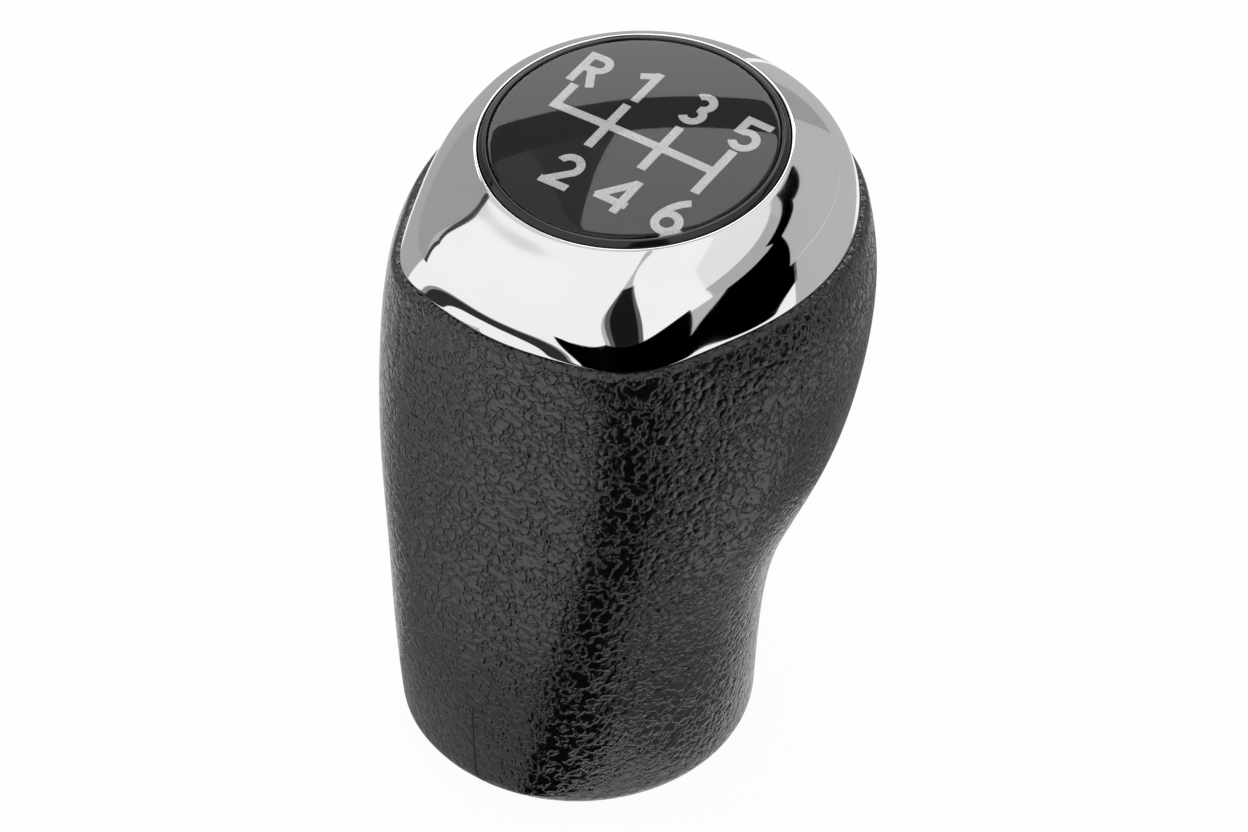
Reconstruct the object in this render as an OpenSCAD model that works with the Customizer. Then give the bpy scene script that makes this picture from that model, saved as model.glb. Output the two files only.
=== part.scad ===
// Gear shift knob for a five speed lever: a grained soft grip on a rigid core,
// a plated bezel and a domed badge with the shift pattern.
// Z runs up the lever, Y points to the front of the car, X to its right side.
// The origin is the middle of the foot, on the axis of the lever.

/* [Grip outline] */
// Radius of the round foot
base_r = 21; // [19:0.1:23]
// Rounding of the foot's lower edge
foot_round = 3; // [1:0.1:5]
// Height of the waist
waist_z = 14; // [12:0.1:18]
// Half width of the waist
waist_w = 21.7; // [19:0.1:23]
// Reach of the waist to the front
waist_front = 21.6; // [20:0.1:25]
// Reach of the waist to the rear
waist_rear = 21.5; // [19:0.1:23]
// Height at which the front starts to swell
swell_z = 29; // [26:0.1:32]
// Half width there
swell_w = 23.7; // [21:0.1:25]
// Reach there to the front
swell_front = 24; // [22:0.1:27]
// Reach there to the rear
swell_rear = 20.4; // [18:0.1:22]
// Height of the belly
belly_z = 42; // [39:0.1:45]
// Half width of the belly
belly_w = 27.6; // [25:0.1:29]
// Reach of the belly to the front
belly_front = 31.8; // [29:0.1:35]
// Reach of the belly to the rear
belly_rear = 18.3; // [16:0.1:20]
// Height of the widest part of the head
head_z = 57.3; // [55:0.1:60]
// Half width of the head
head_w = 28.3; // [26:0.1:30]
// Reach of the head to the front
head_front = 38; // [36:0.1:41]
// Reach of the head to the rear
head_rear = 16.6; // [15:0.1:19]
// Height of the grip's top edge
rim_z = 66; // [64:0.1:68]
// Half width of the top edge
rim_w = 25.5; // [24:0.1:27]
// Reach of the top edge to the front
rim_front = 39.9; // [37:0.1:41]
// Reach of the top edge to the rear
rim_rear = 16.5; // [15:0.1:18]
// How far the widest place of the top edge lies ahead of its middle
rim_lead = 1.6; // [0:0.1:4]
// How far the two rear corners stand out from the ellipse in the head
corner_out = 1.9; // [0:0.1:2.4]
// Angle of each rear corner from straight back
corner_angle = 32.5; // [25:0.5:40]
// How many degrees a corner spreads to either side
corner_spread = 10; // [9:0.5:14]

/* [Grip build] */
// Thickness of the soft skin
skin_t = 2; // [1.5:0.1:3]
// Thickness of the skin under the foot
sole_t = 1.6; // [1:0.1:2.5]
// Radius of the opening in the sole
sole_open_r = 14.5; // [13:0.1:16]
// Rounding of the skin's top edge
lip_round = 0.8; // [0.4:0.1:1.2]
// Wall of the core
core_wall = 2.4; // [1.8:0.1:3]
// Thickness of the core's floor
core_floor = 3.4; // [2.5:0.1:5]
// Thickness of the core's ribs
rib_t = 2.2; // [1.4:0.1:3]
// How far the ribs stay below the top edge
rib_drop = 6; // [5:0.5:16]

/* [Lever] */
// Wall of the core's boss around the collar of the base cap
boss_wall = 1.6; // [1.2:0.1:2.4]
// Roof of the boss above the lever's end
boss_roof = 2; // [1.5:0.1:4]
// Radius of the passage for the lever
lever_pass_r = 5.6; // [5.3:0.1:6]
// Height at which the threaded insert starts
insert_z = 24; // [20:0.1:26]
// Length of the insert
insert_l = 20; // [14:0.1:22]
// Width of the hexagonal insert across its flats
insert_flats = 13; // [12:0.1:14]
// Radius of the insert's thread, at the tips of its teeth
thread_r = 4.35; // [4:0.05:4.6]
// Depth of the groove around the insert
insert_groove = 0.9; // [0.5:0.1:1.2]
// Width of that groove
insert_groove_w = 4; // [2:0.1:6]
// Depth of the chamfer at the insert's mouth
insert_lead = 0.8; // [0.4:0.1:1.2]
// Free depth above the insert
lever_spare = 3; // [1:0.1:4]

/* [Base cap and bush] */
// Gap between the cap and the sole
cap_gap = 0.2; // [0.1:0.05:0.4]
// Outer radius of the cap's collar
collar_r = 8.9; // [8.6:0.05:9.2]
// Wall of the collar
collar_wall = 1.3; // [1:0.1:1.6]
// Height of the collar's top
collar_top_z = 12; // [9:0.1:14]
// Gap around the collar
collar_gap = 0.1; // [0.05:0.01:0.2]
// Height of the snap bead's middle
bead_z = 9.6; // [7:0.1:11]
// How far the snap bead stands out
bead_out = 0.35; // [0.2:0.01:0.5]
// Wall of the bush, which leaves its hole for the lever
bush_wall = 2.45; // [2.2:0.05:2.55]
// Depth of the chamfer at the mouth of the bush
bush_lead = 0.8; // [0.3:0.1:1.5]
// Gap between the bush and the collar
bush_gap = 0.05; // [0.02:0.01:0.1]

/* [Bezel] */
// How far the bezel's lower edge stands in from the skin
bezel_step = 0.8; // [0.4:0.1:1.2]
// Height of the bezel's shoulder above the grip
shoulder_up = 6.3; // [5.5:0.1:7]
// Half width of the shoulder
shoulder_w = 22.4; // [21.5:0.1:23.2]
// Reach of the shoulder to the front
shoulder_front = 35.9; // [35:0.1:37]
// Reach of the shoulder to the rear
shoulder_rear = 14; // [12.5:0.1:15]
// How far the widest place of the shoulder lies ahead of its middle
shoulder_lead = 4; // [0:0.1:6]
// Slope of the shoulder line
shoulder_tilt = 2; // [0:0.1:4]
// How far the rear corners stand out at the shoulder
shoulder_corner = 0.7; // [0:0.1:1.2]
// Wall of the bezel
bezel_wall = 1.8; // [1.2:0.1:2.2]
// Width of the bezel's bright edge around the badge
bezel_lip = 0.35; // [0.3:0.05:0.8]
// Depth of the spigot that enters the core
spigot_l = 3; // [2:0.1:4]
// Wall of the spigot
spigot_wall = 1.4; // [1:0.1:2]
// Gap between the spigot and the core
spigot_gap = 0.2; // [0.1:0.05:0.4]

/* [Badge] */
// Radius of the badge
badge_r = 17.6; // [17:0.1:18.4]
// Height of the badge's edge above the grip, at its middle
badge_up = 10.4; // [9.6:0.1:12]
// Distance from the lever's axis forward to the badge's middle
badge_y = 11.7; // [10:0.1:13]
// Slope of the badge towards the driver
badge_tilt = 4.8; // [2:0.1:6]
// Gap around the badge
badge_gap = 0.1; // [0.05:0.01:0.3]
// Thickness of the badge plate below its edge
badge_t = 2; // [1.6:0.1:2.4]
// Width of the badge's black ring
ring_w = 1; // [0.8:0.05:1.5]
// How far the ring stands up
ring_rise = 0.45; // [0.2:0.05:0.8]
// Width of the ring's outer bevel
ring_bevel = 0.5; // [0.2:0.05:0.7]
// Gap around the lens and the foil
lens_gap = 0.05; // [0.02:0.01:0.1]
// Depth of the badge's pocket
pocket_d = 0.6; // [0.4:0.05:1]
// Thickness of the printed foil
foil_t = 0.2; // [0.1:0.05:0.3]
// Thickness of the print
print_t = 0.1; // [0.05:0.01:0.15]
// How far the lens's edge stands up
lens_edge = 0.45; // [0.3:0.05:0.8]
// How far the lens domes up from its edge to its middle
dome_rise = 0.9; // [0.4:0.05:1.6]
// Thickness of the adhesive ring
tape_t = 0.4; // [0.2:0.05:0.6]
// Inner radius of the adhesive ring
tape_in_r = 12.6; // [12.3:0.1:14]
// Distance of the adhesive ring from the wall around the badge
tape_edge = 0.6; // [0.3:0.1:1.2]

/* [Bezel screws] */
// Depth of the bezel's screw floor below the badge's seat
screw_floor_d = 2.8; // [2.7:0.1:3.2]
// Thickness of that floor
screw_floor_t = 1.6; // [1.2:0.1:2]
// Radius of the recess for the screw heads
recess_r = 12; // [11.4:0.1:12.2]
// Distance of the screws from the badge's middle
screw_ring_r = 8.3; // [7.5:0.1:8.8]
// Radius of a screw's shank
screw_r = 1.3; // [1:0.05:1.5]
// Length of a screw below its head
screw_l = 11; // [8:0.5:14]
// Radius of a screw head
screw_head_r = 2.6; // [2:0.1:2.8]
// Height of a screw head
screw_head_h = 1.7; // [1.2:0.1:1.8]
// Gap around a screw in the bezel's floor
screw_gap = 0.2; // [0.1:0.05:0.4]
// Wall of the core's screw towers
tower_wall = 1.7; // [1.4:0.1:2.4]
// Height at which the front screw tower starts
front_tower_z = 32; // [31:0.5:40]
// Radius of the hole in the bezel's floor
floor_hole_r = 4; // [3:0.1:4.6]

/* [Shift pattern] */
// Distance between two gates
gate_pitch = 7.15; // [6:0.05:7.4]
// Length of a gate from the cross line
gate_l = 3.95; // [3:0.05:4.4]
// Width of the lines
line_w = 1.1; // [0.6:0.05:1.4]
// Height of the figures
figure_h = 5.5; // [4:0.1:5.7]
// Width of the figures
figure_w = 3.7; // [2.6:0.1:4]
// Width of the figures' strokes
figure_line = 1; // [0.6:0.05:1.1]
// Distance from the cross line to the middle of the figures in front
front_row = 7.6; // [7.2:0.1:8.2]
// Distance from the cross line to the middle of the figures behind
rear_row = 8.5; // [7.2:0.1:8.8]
// How far the outer figures move in towards the cross line
outer_in = 0.6; // [0:0.1:1]
// Margin without print along the edge of the lens's pocket
print_edge = 0.3; // [0.1:0.05:0.4]

/* [Hidden] */
$fn = 96;
segments = 64;
eps = 0.01;
bush_r = collar_r - collar_wall - bush_gap;
bush_bore_r = bush_r - bush_wall;
lens_r = badge_r - ring_w;
dish_r = badge_r + badge_gap;
badge_z = rim_z + badge_up;
shoulder_z = rim_z + shoulder_up;
seat_d = badge_t + tape_t;
core_in = skin_t + core_wall;
spigot_out = core_in + spigot_gap;
spigot_in = spigot_out + spigot_wall;
floor_top_z = sole_t + core_floor;
insert_top_z = insert_z + insert_l;
rib_top_z = rim_z - rib_drop;
boss_r = collar_r + collar_gap + boss_wall;
boss_top_z = insert_top_z + lever_spare + boss_roof;
tower_r = screw_r + tower_wall;
screw_floor_z = badge_z - seat_d - screw_floor_d;
tower_top_z = screw_floor_z - screw_floor_t;

// A station is height, half width, front, rear, lead, slope and how far the corners stand out.
function lead_at(z) = rim_lead * pow(z / rim_z, 3);
function corner_at(z) = corner_out * sin(90 * min(z / head_z, 1));
GRIP = [
    [0, base_r, base_r, -base_r, 0, 0, 0],
    [waist_z, waist_w, waist_front, -waist_rear, lead_at(waist_z), 0, corner_at(waist_z)],
    [swell_z, swell_w, swell_front, -swell_rear, lead_at(swell_z), 0, corner_at(swell_z)],
    [belly_z, belly_w, belly_front, -belly_rear, lead_at(belly_z), 0, corner_at(belly_z)],
    [head_z, head_w, head_front, -head_rear, lead_at(head_z), 0, corner_at(head_z)],
    [rim_z, rim_w, rim_front, -rim_rear, rim_lead, 0, corner_at(rim_z)]
];
bezel_top_r = dish_r + bezel_lip;
BEZEL = [
    inset(GRIP[5], bezel_step),
    [shoulder_z, shoulder_w, shoulder_front, -shoulder_rear, shoulder_lead, shoulder_tilt,
        shoulder_corner],
    [badge_z, bezel_top_r, badge_y + bezel_top_r, badge_y - bezel_top_r, 0, badge_tilt, 0]
];

// Natural cubic spline through stations that are one step apart.
function pull(v, i) = 6 * (v[i - 1] - 2 * v[i] + v[i + 1]);
function sweep(v, i) = i == 1
    ? [1 / 4, pull(v, 1) / 4]
    : let (p = sweep(v, i - 1), c = 1 / (4 - p[0])) [c, c * (pull(v, i) - p[1])];
function bend(v, i) = i <= 0 || i >= len(v) - 1
    ? 0 * v[0]
    : let (p = sweep(v, i)) p[1] - p[0] * bend(v, i + 1);
function along(v, u) =
    let (i = min(floor(u), len(v) - 2), t = u - i, s = 1 - t)
    v[i] * s + v[i + 1] * t
    + bend(v, i) * (pow(s, 3) - s) / 6 + bend(v, i + 1) * (pow(t, 3) - t) / 6;

// The same station drawn in by a wall, or moved to another height.
function inset(row, by) =
    [row[0], row[1] - by, row[2] - by, row[3] + by, row[4], row[5], row[6]];
function at_z(row, z) = [z, row[1], row[2], row[3], row[4], row[5], row[6]];
function foot_in(z) = z >= foot_round
    ? 0
    : foot_round - sqrt(pow(foot_round, 2) - pow(foot_round - max(z, 0), 2));

// Where the grip is at height z, found by halving the interval.
function step_at(z, lo = 0, hi = 5, n = 24) =
    let (mid = (lo + hi) / 2)
    n == 0 ? mid
    : along(GRIP, mid)[0] < z ? step_at(z, mid, hi, n - 1) : step_at(z, lo, mid, n - 1);
function grip_row(z, by) = inset(at_z(along(GRIP, step_at(z)), z), by + foot_in(z));

// The ring of points of a station: two half ellipses, with a soft corner on either side of
// the rear, which stands out as a bell curve does.
function middle(row) = (row[2] + row[3]) / 2 + row[4];
function ring(row) = [
    for (i = [0 : segments - 1])
        let (
            a = 360 * i / segments,
            c = cos(a),
            s = sin(a),
            reach = s >= 0 ? row[2] - middle(row) : middle(row) - row[3],
            off = abs(abs(a - 270) - corner_angle) / corner_spread,
            r = 1 / sqrt(pow(c / row[1], 2) + pow(s / reach, 2))
                + row[6] * exp(-pow(off, 2) / 2)
        )
        [r * c, middle(row) + r * s * cos(row[5]), row[0] + r * s * sin(row[5])]
];
function half_at(row, y) =
    let (
        d = y - middle(row),
        reach = d >= 0 ? row[2] - middle(row) : middle(row) - row[3]
    )
    row[1] * sqrt(max(1 - pow(d / reach, 2), 0));

// A circle around the lever, and one around the badge's middle at depth d below it.
function level_circle(r, z, y = 0) = ring([z, r, y + r, y - r, 0, 0, 0]);
function badge_circle(r, d) =
    let (y = badge_y + d * sin(badge_tilt), z = badge_z - d * cos(badge_tilt))
    ring([z, r, y + r, y - r, 0, badge_tilt, 0]);

// A closed skin through a loop of rings: each ring joins the next, the last the first.
// The diagonals rise the same way on both sides, so that nested skins meet face to face.
module wrap(rings) {
    n = len(rings);
    m = segments;
    polyhedron(
        points = [for (r = rings) each r],
        faces = [
            for (k = [0 : n - 1])
                for (i = [0 : m - 1])
                    let (
                        next = (k + 1) % n,
                        a = k * m + i,
                        b = k * m + (i + 1) % m,
                        c = next * m + (i + 1) % m,
                        d = next * m + i
                    )
                    each rings[next][0][2] < rings[k][0][2]
                        ? [[a, d, b], [b, d, c]]
                        : [[a, c, b], [a, d, c]]
        ],
        convexity = 10
    );
}

module at_badge(up = 0) {
    translate([0, badge_y, badge_z])
        rotate([badge_tilt, 0, 0])
            translate([0, 0, up])
                children();
}

module tube(outer, inner, low, high) {
    translate([0, 0, low])
        difference() {
            cylinder(r = outer, h = high - low);
            translate([0, 0, -1])
                cylinder(r = inner, h = high - low + 2);
        }
}

module at_screws() {
    for (a = [90, 210, 330])
        translate([screw_ring_r * cos(a), badge_y + screw_ring_r * sin(a), 0])
            children();
}

// Soft skin, turned in under the foot and rolled over at the top
foot_levels = [for (a = [15 : 15 : 75]) foot_round * (1 - cos(a))];
side_levels = [for (k = [1 : 16]) foot_round + (rim_z - lip_round - foot_round) * k / 16];

module grip_cover() {
    color("#1d1d1e")
        wrap(concat(
            [level_circle(sole_open_r, 0)],
            [ring(grip_row(0, 0))],
            [for (z = foot_levels) ring(grip_row(z, 0))],
            [ring(grip_row(foot_round, 0))],
            [for (z = side_levels) ring(grip_row(z, 0))],
            [for (a = [30 : 30 : 90])
                ring(grip_row(rim_z - lip_round * (1 - sin(a)), lip_round * (1 - cos(a))))],
            [for (k = [0 : 13]) ring(core_side(14 - k))],
            [ring(core_side(0))],
            [level_circle(sole_open_r, sole_t)]
        ));
}

// Stations of the core's outer face, from the floor to the top edge
function core_side(k, by = 0) = grip_row(sole_t + (rim_z - sole_t) * k / 14, skin_t + by);

// Rigid core: shell, floor, boss for the lever, ribs and towers for the screws
module core_shell() {
    wrap(concat(
        [level_circle(collar_r + collar_gap + eps, sole_t)],
        [for (k = [0 : 14]) ring(core_side(k))],
        [for (k = [0 : 12]) ring(core_side(14 - k, core_wall))],
        [ring(grip_row(floor_top_z, core_in))],
        [level_circle(collar_r + collar_gap + eps, floor_top_z)]
    ));
}

rib_levels = [for (k = [0 : 10]) floor_top_z - 1 + (rib_top_z - floor_top_z + 1) * k / 10];
rib_in = skin_t + core_wall / 2;

module long_rib() {
    rotate([90, 0, 90])
        translate([0, 0, -rib_t / 2])
            linear_extrude(rib_t)
                polygon(concat(
                    [for (z = rib_levels) [grip_row(z, rib_in)[2], z]],
                    [for (k = [10 : -1 : 0])
                        let (z = rib_levels[k]) [grip_row(z, rib_in)[3], z]]
                ));
}

module cross_rib() {
    rotate([90, 0, 0])
        translate([0, 0, -rib_t / 2])
            linear_extrude(rib_t)
                polygon(concat(
                    [for (z = rib_levels) [half_at(grip_row(z, rib_in), 0), z]],
                    [for (k = [10 : -1 : 0])
                        let (z = rib_levels[k]) [-half_at(grip_row(z, rib_in), 0), z]]
                ));
}

module screw_towers() {
    at_screws()
        translate([0, 0, sole_t + core_floor / 2])
            cylinder(r = tower_r, h = tower_top_z - sole_t - core_floor / 2);
}

module grip_core() {
    color("#2b2c2e")
        difference() {
            union() {
                core_shell();
                translate([0, 0, sole_t])
                    cylinder(r = boss_r, h = boss_top_z - sole_t);
                long_rib();
                cross_rib();
                difference() {
                    screw_towers();
                    translate([0, badge_y + screw_ring_r, 0])
                        cylinder(r = tower_r + 1, h = front_tower_z);
                }
            }
            collar_bore();
            translate([0, 0, collar_top_z])
                cylinder(r = lever_pass_r, h = insert_top_z + lever_spare - collar_top_z);
            insert_body();
            at_screws()
                translate([0, 0, screw_floor_z - screw_l])
                    cylinder(r = screw_r, h = screw_l + 1);
        }
}

module collar_bore() {
    r = collar_r + collar_gap;
    rotate_extrude()
        polygon([
            [0, sole_t - 1],
            [r, sole_t - 1],
            [r, bead_z - bead_out],
            [r + bead_out, bead_z],
            [r, bead_z + bead_out],
            [r, collar_top_z + collar_gap],
            [0, collar_top_z + collar_gap]
        ]);
}

// Brass insert: hexagonal bar with a turned groove, moulded into the boss
module insert_body() {
    hex_r = insert_flats / 2 / cos(30);
    translate([0, 0, insert_z])
        difference() {
            cylinder(r = hex_r, h = insert_l, $fn = 6);
            translate([0, 0, (insert_l - insert_groove_w) / 2])
                difference() {
                    cylinder(r = hex_r + 1, h = insert_groove_w);
                    translate([0, 0, -1])
                        cylinder(r = insert_flats / 2 - insert_groove, h = insert_groove_w + 2);
                }
        }
}

module lever_insert() {
    color("#b8923c")
        difference() {
            insert_body();
            translate([0, 0, insert_z - 1])
                cylinder(r = thread_r, h = insert_l + 2);
            translate([0, 0, insert_z - eps])
                cylinder(r1 = thread_r + insert_lead, r2 = thread_r, h = insert_lead);
        }
}

// Rubber bush that steadies the lever at the foot
module lever_bush() {
    color("#161616")
        difference() {
            tube(bush_r, bush_bore_r, sole_t, collar_top_z);
            translate([0, 0, sole_t - eps])
                cylinder(r1 = bush_bore_r + bush_lead, r2 = bush_bore_r, h = bush_lead);
        }
}

// Cap that closes the foot, with a collar that snaps into the boss
module base_cap() {
    color("#202022")
        difference() {
            rotate_extrude()
                polygon([
                    [0, 0],
                    [sole_open_r - cap_gap, 0],
                    [sole_open_r - cap_gap, sole_t],
                    [collar_r, sole_t],
                    [collar_r, bead_z - bead_out],
                    [collar_r + bead_out, bead_z],
                    [collar_r, bead_z + bead_out],
                    [collar_r, collar_top_z],
                    [0, collar_top_z]
                ]);
            translate([0, 0, -1])
                cylinder(r = lever_pass_r, h = collar_top_z + 2);
            translate([0, 0, sole_t])
                cylinder(r = collar_r - collar_wall, h = collar_top_z);
        }
}

// The spigot's lower edge keeps clear of the core, which draws in below the rim at the
// front and widens at the sides, and it still goes in from above.
function spigot_end(by) =
    let (top = inset(GRIP[5], by), low = grip_row(rim_z - spigot_l, by))
    [low[0], min(top[1], low[1]), min(top[2], low[2]), max(top[3], low[3]), low[4], low[5],
        low[6]];

// Plated bezel: outer face, seat of the badge, recess for the screws, inner face, spigot
module bezel_shell() {
    wrap(concat(
        [for (u = [0 : 0.2 : 2]) ring(along(BEZEL, u))],
        [badge_circle(dish_r, 0)],
        [badge_circle(dish_r, seat_d)],
        [badge_circle(recess_r, seat_d)],
        [level_circle(recess_r, screw_floor_z, badge_y)],
        [level_circle(floor_hole_r, screw_floor_z, badge_y)],
        [level_circle(floor_hole_r, tower_top_z, badge_y)],
        [level_circle(recess_r + bezel_wall, tower_top_z, badge_y)],
        [badge_circle(recess_r + bezel_wall, seat_d + bezel_wall)],
        [badge_circle(dish_r + bezel_wall, seat_d + bezel_wall)],
        [ring(inset(along(BEZEL, 0.8), bezel_wall))],
        [ring(inset(along(BEZEL, 0.4), bezel_wall))],
        [ring(at_z(inset(GRIP[5], spigot_in), rim_z + bezel_wall))],
        [ring(spigot_end(spigot_in))],
        [ring(spigot_end(spigot_out))],
        [ring(inset(GRIP[5], spigot_out))]
    ));
}

module chrome_bezel() {
    color("#d5d7da")
        difference() {
            bezel_shell();
            at_screws()
                translate([0, 0, tower_top_z - 1])
                    cylinder(r = screw_r + screw_gap, h = screw_floor_t + 2);
        }
}

// Three self tapping screws, seated on the bezel's floor
module bezel_screws() {
    color("#8d9196")
        at_screws()
            translate([0, 0, screw_floor_z])
                difference() {
                    union() {
                        translate([0, 0, -screw_l])
                            cylinder(r = screw_r, h = screw_l);
                        cylinder(r = screw_head_r, h = screw_head_h);
                    }
                    for (a = [0, 90])
                        rotate([0, 0, a])
                            translate([-screw_head_r * 0.6, -0.25, screw_head_h - 0.8])
                                cube([screw_head_r * 1.2, 0.5, 1]);
                }
}

module badge_tape() {
    color("#e4e1d6")
        at_badge()
            tube(dish_r - tape_edge, tape_in_r, -seat_d, -badge_t);
}

// Gloss black badge with its bevelled ring
module badge_plate() {
    color("#0b0b0c")
        at_badge()
            rotate_extrude()
                polygon([
                    [0, -badge_t],
                    [badge_r, -badge_t],
                    [badge_r, 0],
                    [badge_r - ring_bevel, ring_rise],
                    [lens_r, ring_rise],
                    [lens_r, -pocket_d],
                    [0, -pocket_d]
                ]);
}

module badge_foil() {
    color("#121213")
        at_badge(-pocket_d)
            cylinder(r = lens_r - lens_gap, h = foil_t);
}

// Clear resin lens: a flat puck with a low dome over it
module dome_lens() {
    r = lens_r - lens_gap;
    low = foil_t + print_t - pocket_d;
    ball = (pow(r, 2) + pow(dome_rise, 2)) / (2 * dome_rise);
    color("#2a2c30", 0.4)
        at_badge()
            rotate_extrude()
                polygon(concat(
                    [[0, low], [r, low]],
                    [for (x = [r : -r / 16 : 0])
                        [x, lens_edge + dome_rise - ball + sqrt(pow(ball, 2) - pow(x, 2))]]
                ));
}

// Strokes of the figures: straight from p to q, and round about c
module stroke(p, q, w = figure_line) {
    d = q - p;
    translate([p[0], p[1], 0])
        rotate([0, 0, atan2(d[1], d[0])])
            translate([0, -w / 2, 0])
                cube([norm(d), w, print_t]);
}

module bow(c, r, from, turn) {
    translate([c[0], c[1], 0])
        rotate([0, 0, from])
            rotate_extrude(angle = turn)
                translate([r - figure_line / 2, 0])
                    square([figure_line, print_t]);
}

// Figures stand on y = 0 and are centred on x = 0.
fx = figure_w / 2;
fl = figure_line / 2;
bowl = (figure_h + figure_line) / 4 - fl;

module figure_r() {
    top = figure_h - fl;
    low = top - 2 * bowl;
    stroke([-fx + fl, 0], [-fx + fl, figure_h]);
    stroke([-fx, top], [fx - fl - bowl + eps, top]);
    stroke([-fx, low], [fx - fl - bowl + eps, low]);
    bow([fx - fl - bowl, top - bowl], bowl, -90, 180);
    stroke([-0.1, low], [fx - 0.45, 0]);
}

module figure_1() {
    stroke([0.3, 0], [0.3, figure_h]);
    stroke([0.3, figure_h - fl], [-fx + 0.3, figure_h - 1.5]);
}

module figure_2() {
    r = fx - fl;
    bow([0, figure_h - fx], r, -40, 205);
    stroke([r * cos(-40) + 0.15, figure_h - fx + r * sin(-40) + 0.2], [-fx + fl, fl]);
    stroke([-fx, fl], [fx, fl]);
}

module figure_3() {
    bow([0, figure_h - fl - bowl], bowl, -90, 235);
    bow([0, fl + bowl], bowl, -145, 235);
}

module figure_4() {
    bar = figure_h * 0.28;
    stem = fx * 0.6;
    stroke([stem, 0], [stem, figure_h]);
    stroke([-fx - 0.35, bar], [fx + 0.1, bar]);
    stroke([-fx - 0.15, bar - 0.15], [stem, figure_h - 0.35]);
}

module figure_5() {
    r = fx - fl;
    stroke([-fx + fl, figure_h - fl], [fx - 0.1, figure_h - fl]);
    stroke([-fx + fl + 0.1, figure_h], [-fx + fl, figure_h * 0.45]);
    bow([0, fx], r, -150, 290);
}

module figure_6() {
    r = fx - fl;
    bow([0, fx], r, 0, 360);
    bow([figure_h - fx - 0.35, fx], figure_h - fx - 0.35 + r, 124, 56);
}

// The lines and figures, on the foil
module pattern() {
    col = [for (i = [0 : 3]) gate_pitch * (i - 1.5)];
    figures_y = -figure_h / 2;
    stroke([col[0] - line_w / 2, 0], [col[3] + line_w / 2, 0], line_w);
    stroke([col[0], 0], [col[0], gate_l], line_w);
    for (i = [1 : 3])
        stroke([col[i], -gate_l], [col[i], gate_l], line_w);
    translate([col[0] + 0.3, front_row - outer_in + figures_y])
        figure_r();
    translate([col[1], front_row + figures_y])
        figure_1();
    translate([col[2], front_row + figures_y])
        figure_3();
    translate([col[3], front_row - outer_in + figures_y])
        figure_5();
    translate([col[1], -rear_row + figures_y])
        figure_2();
    translate([col[2], -rear_row + figures_y])
        figure_4();
    translate([col[3], -rear_row + figures_y])
        figure_6();
}

// A wide pattern ends at the margin and doesn't run under the ring
module shift_print() {
    color("#c3c6c8")
        at_badge(foil_t - pocket_d)
            intersection() {
                pattern();
                translate([0, 0, -1])
                    cylinder(r = lens_r - print_edge, h = 2);
            }
}

grip_cover();
grip_core();
lever_insert();
lever_bush();
base_cap();
chrome_bezel();
bezel_screws();
badge_tape();
badge_plate();
badge_foil();
shift_print();
dome_lens();
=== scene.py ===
# %% [markdown]
# # A gear shift knob, dressed for its portrait
#
# The construction comes from the frame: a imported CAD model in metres, with Z up the
# lever, Y to the front of the car and X to its right. This script gives it its looks.
# The two large shells, the soft skin and the plated bezel, are made again with many
# more faces, because leather sheen and chrome reflections show every flat facet.

import math

import bpy
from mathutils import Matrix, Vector


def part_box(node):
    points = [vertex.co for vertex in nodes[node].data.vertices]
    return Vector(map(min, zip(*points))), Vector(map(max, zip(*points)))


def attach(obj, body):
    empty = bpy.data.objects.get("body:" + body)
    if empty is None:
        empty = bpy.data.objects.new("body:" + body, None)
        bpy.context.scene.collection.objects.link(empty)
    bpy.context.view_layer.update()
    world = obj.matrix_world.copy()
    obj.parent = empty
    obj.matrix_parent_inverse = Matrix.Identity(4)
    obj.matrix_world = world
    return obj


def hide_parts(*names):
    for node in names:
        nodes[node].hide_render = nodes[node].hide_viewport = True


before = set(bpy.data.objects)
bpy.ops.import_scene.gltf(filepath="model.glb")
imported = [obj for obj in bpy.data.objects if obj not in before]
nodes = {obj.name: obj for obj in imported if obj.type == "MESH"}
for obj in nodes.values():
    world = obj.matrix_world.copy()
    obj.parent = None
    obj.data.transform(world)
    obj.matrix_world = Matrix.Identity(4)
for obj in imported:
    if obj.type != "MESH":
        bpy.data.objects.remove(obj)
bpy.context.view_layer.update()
print("nodes:", ", ".join(sorted(nodes)))

MM = 0.001


def size_of(node):
    low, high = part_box(node)
    return [round((h - l) / MM, 2) for l, h in zip(low, high)]


for name in ("grip_cover", "chrome_bezel", "dome_lens"):
    print(name, "measures", size_of(name), "mm")

# %% [markdown]
# ## The outline
#
# The knob is a loft: a round foot, a waist, a belly that leans forward over the lever
# and a head. Each station is one cross section, given by its height, half width and
# reach to the front and to the rear, and by how far its soft rear corners stand out.
# The corners grow from nothing at the foot, so they ease in over the height.

# %% Stations in millimetres, from the same driving sizes as the CAD model
RIM_Z = 66.0
RIM_LEAD = 1.6
HEAD_Z = 57.3
CORNER_OUT = 1.9


def corner_at(z):
    return CORNER_OUT * math.sin(math.pi / 2 * min(z / HEAD_Z, 1))


def station(z, half, front, rear):
    return [z, half, front, -rear, RIM_LEAD * (z / RIM_Z) ** 3, 0.0, corner_at(z)]


FOOT = station(0, 21.0, 21.0, 21.0)
WAIST = station(14, 21.7, 21.6, 21.5)
SWELL = station(29, 23.7, 24.0, 20.4)
BELLY = station(42, 27.6, 31.8, 18.3)
HEAD = station(HEAD_Z, 28.3, 38.0, 16.6)
RIM = station(RIM_Z, 25.5, 39.9, 16.5)
GRIP = [FOOT, WAIST, SWELL, BELLY, HEAD, RIM]
print(len(GRIP), "stations from the foot to the rim")

# %% [markdown]
# ## The curve through the stations
#
# A natural cubic spline runs through the stations, as a bent batten would, so nothing
# shows a kink. Every number of a station is one curve, and all of them are worked out
# together: first how much each station bends, then the blend between two of them.


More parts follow.
